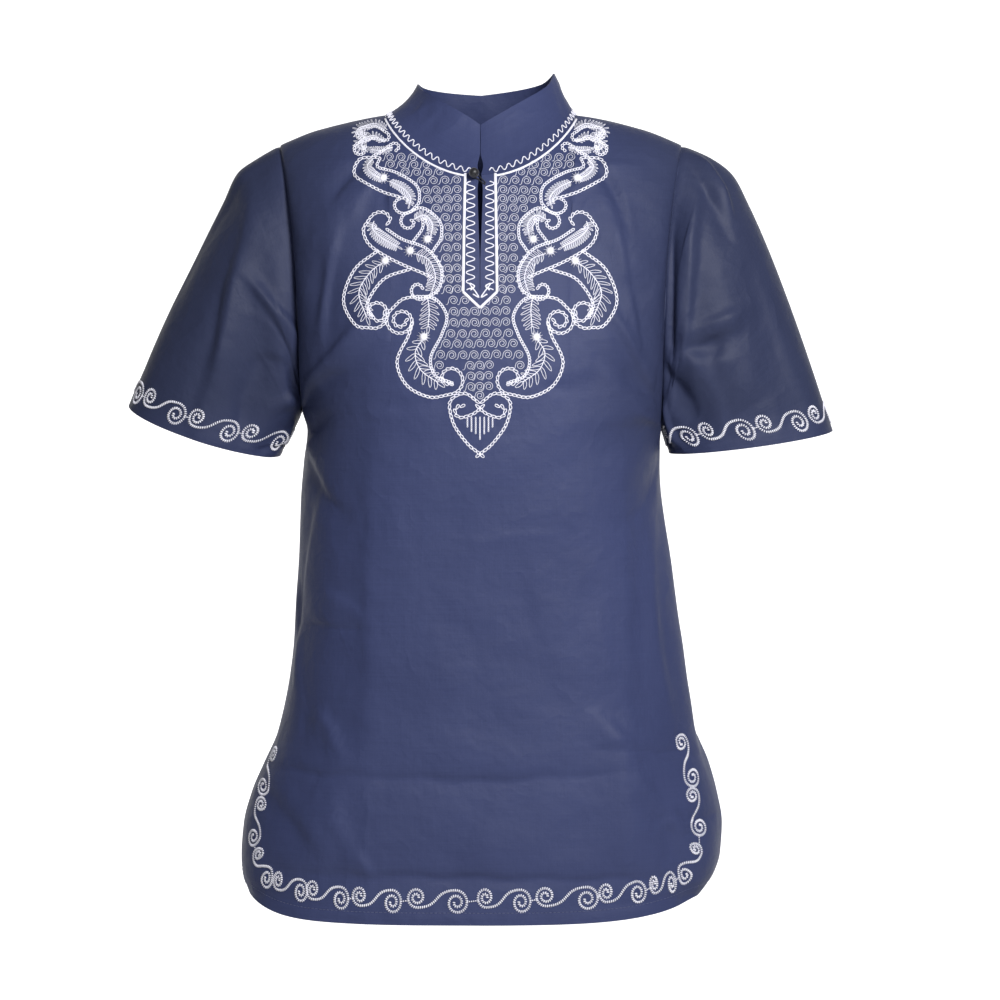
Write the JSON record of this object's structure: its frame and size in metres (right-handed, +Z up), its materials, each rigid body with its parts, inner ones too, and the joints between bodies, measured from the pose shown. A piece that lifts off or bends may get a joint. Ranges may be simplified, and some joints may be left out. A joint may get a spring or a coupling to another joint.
{
  "type": "dashiki shirt",
  "caption": "Short-sleeved pullover dashiki shirt with a stand collar, a buttoned neck slit, side vents and a rounded hem, hollow as when worn.",
  "frame": {"origin": "middle of the neck opening, at the height of the neck points of the shoulders", "axes": "+Z up along the body, -Y out of the front, +X towards the wearer's left sleeve"},
  "size_m": [0.659, 0.2384, 0.7813],
  "materials": {
    "front_panel": "polished cotton, navy, pale thread embroidery",
    "back_panel": "polished cotton, navy",
    "sleeve_right": "polished cotton, navy, pale thread border",
    "sleeve_left": "polished cotton, navy, pale thread border",
    "collar": "polished cotton, navy",
    "button": "cloth-covered ball, dark",
    "button_loop": "cord, dark"
  },
  "bodies": {
    "root": {"front_panel": "front_panel", "back_panel": "back_panel", "sleeve_right": "sleeve_right", "sleeve_left": "sleeve_left", "collar": "collar", "button": "button", "button_loop": "button_loop"}
  },
  "joints": []
}
